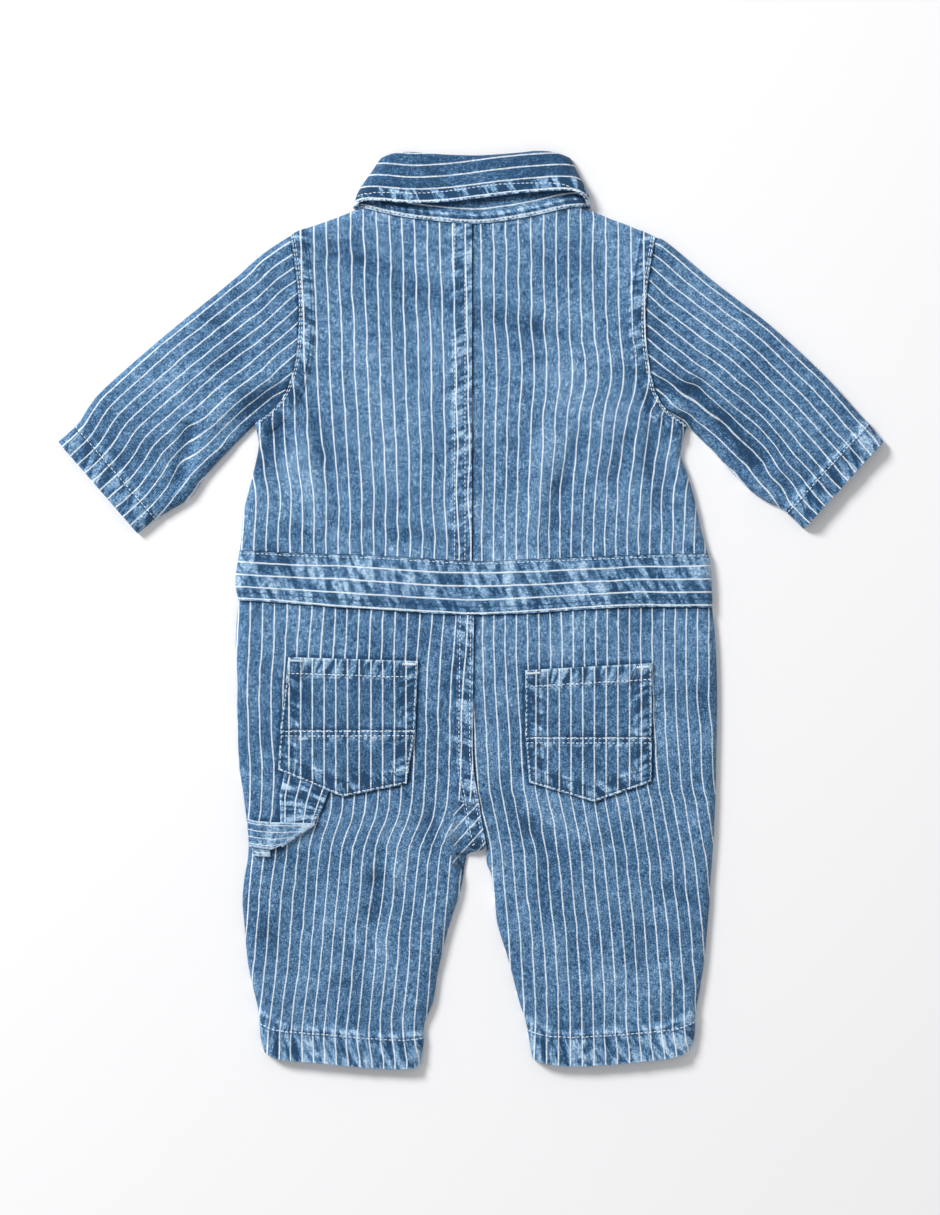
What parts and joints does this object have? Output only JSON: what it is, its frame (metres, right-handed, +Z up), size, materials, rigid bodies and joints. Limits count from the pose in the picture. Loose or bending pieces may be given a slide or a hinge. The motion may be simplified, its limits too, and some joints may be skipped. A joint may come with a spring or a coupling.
{
  "type": "baby romper",
  "caption": "Baby's long-sleeved romper in pinstriped denim, with a folded collar, a waistband, patch pockets on the seat and a side loop, lying flat with its back up.",
  "frame": {"origin": "centre of the bounding box in plan, at the surface that the garment lies on", "axes": "+Y from the hems to the collar, +X from the wearer's left to the wearer's right, +Z up from the surface, through the front to the back of the garment"},
  "size_m": [0.4944, 0.5496, 0.0112],
  "materials": {
    "denim": "washed light-blue denim twill with thin white pinstripes",
    "button": "plain grey plastic"
  },
  "bodies": {
    "root": {"back_left": "denim", "back_right": "denim", "front_left": "denim", "front_right": "denim", "front_placket": "denim", "button_1": "button", "button_2": "button", "button_3": "button", "button_4": "button", "button_5": "button", "sleeve_left": "denim", "sleeve_right": "denim", "waistband": "denim", "leg_back_left": "denim", "leg_front_left": "denim", "leg_back_right": "denim", "leg_front_right": "denim", "pocket_left_upper": "denim", "pocket_left_lower": "denim", "pocket_right_upper": "denim", "pocket_right_lower": "denim", "hammer_loop": "denim", "collar_stand": "denim", "collar_fall": "denim"}
  },
  "joints": []
}
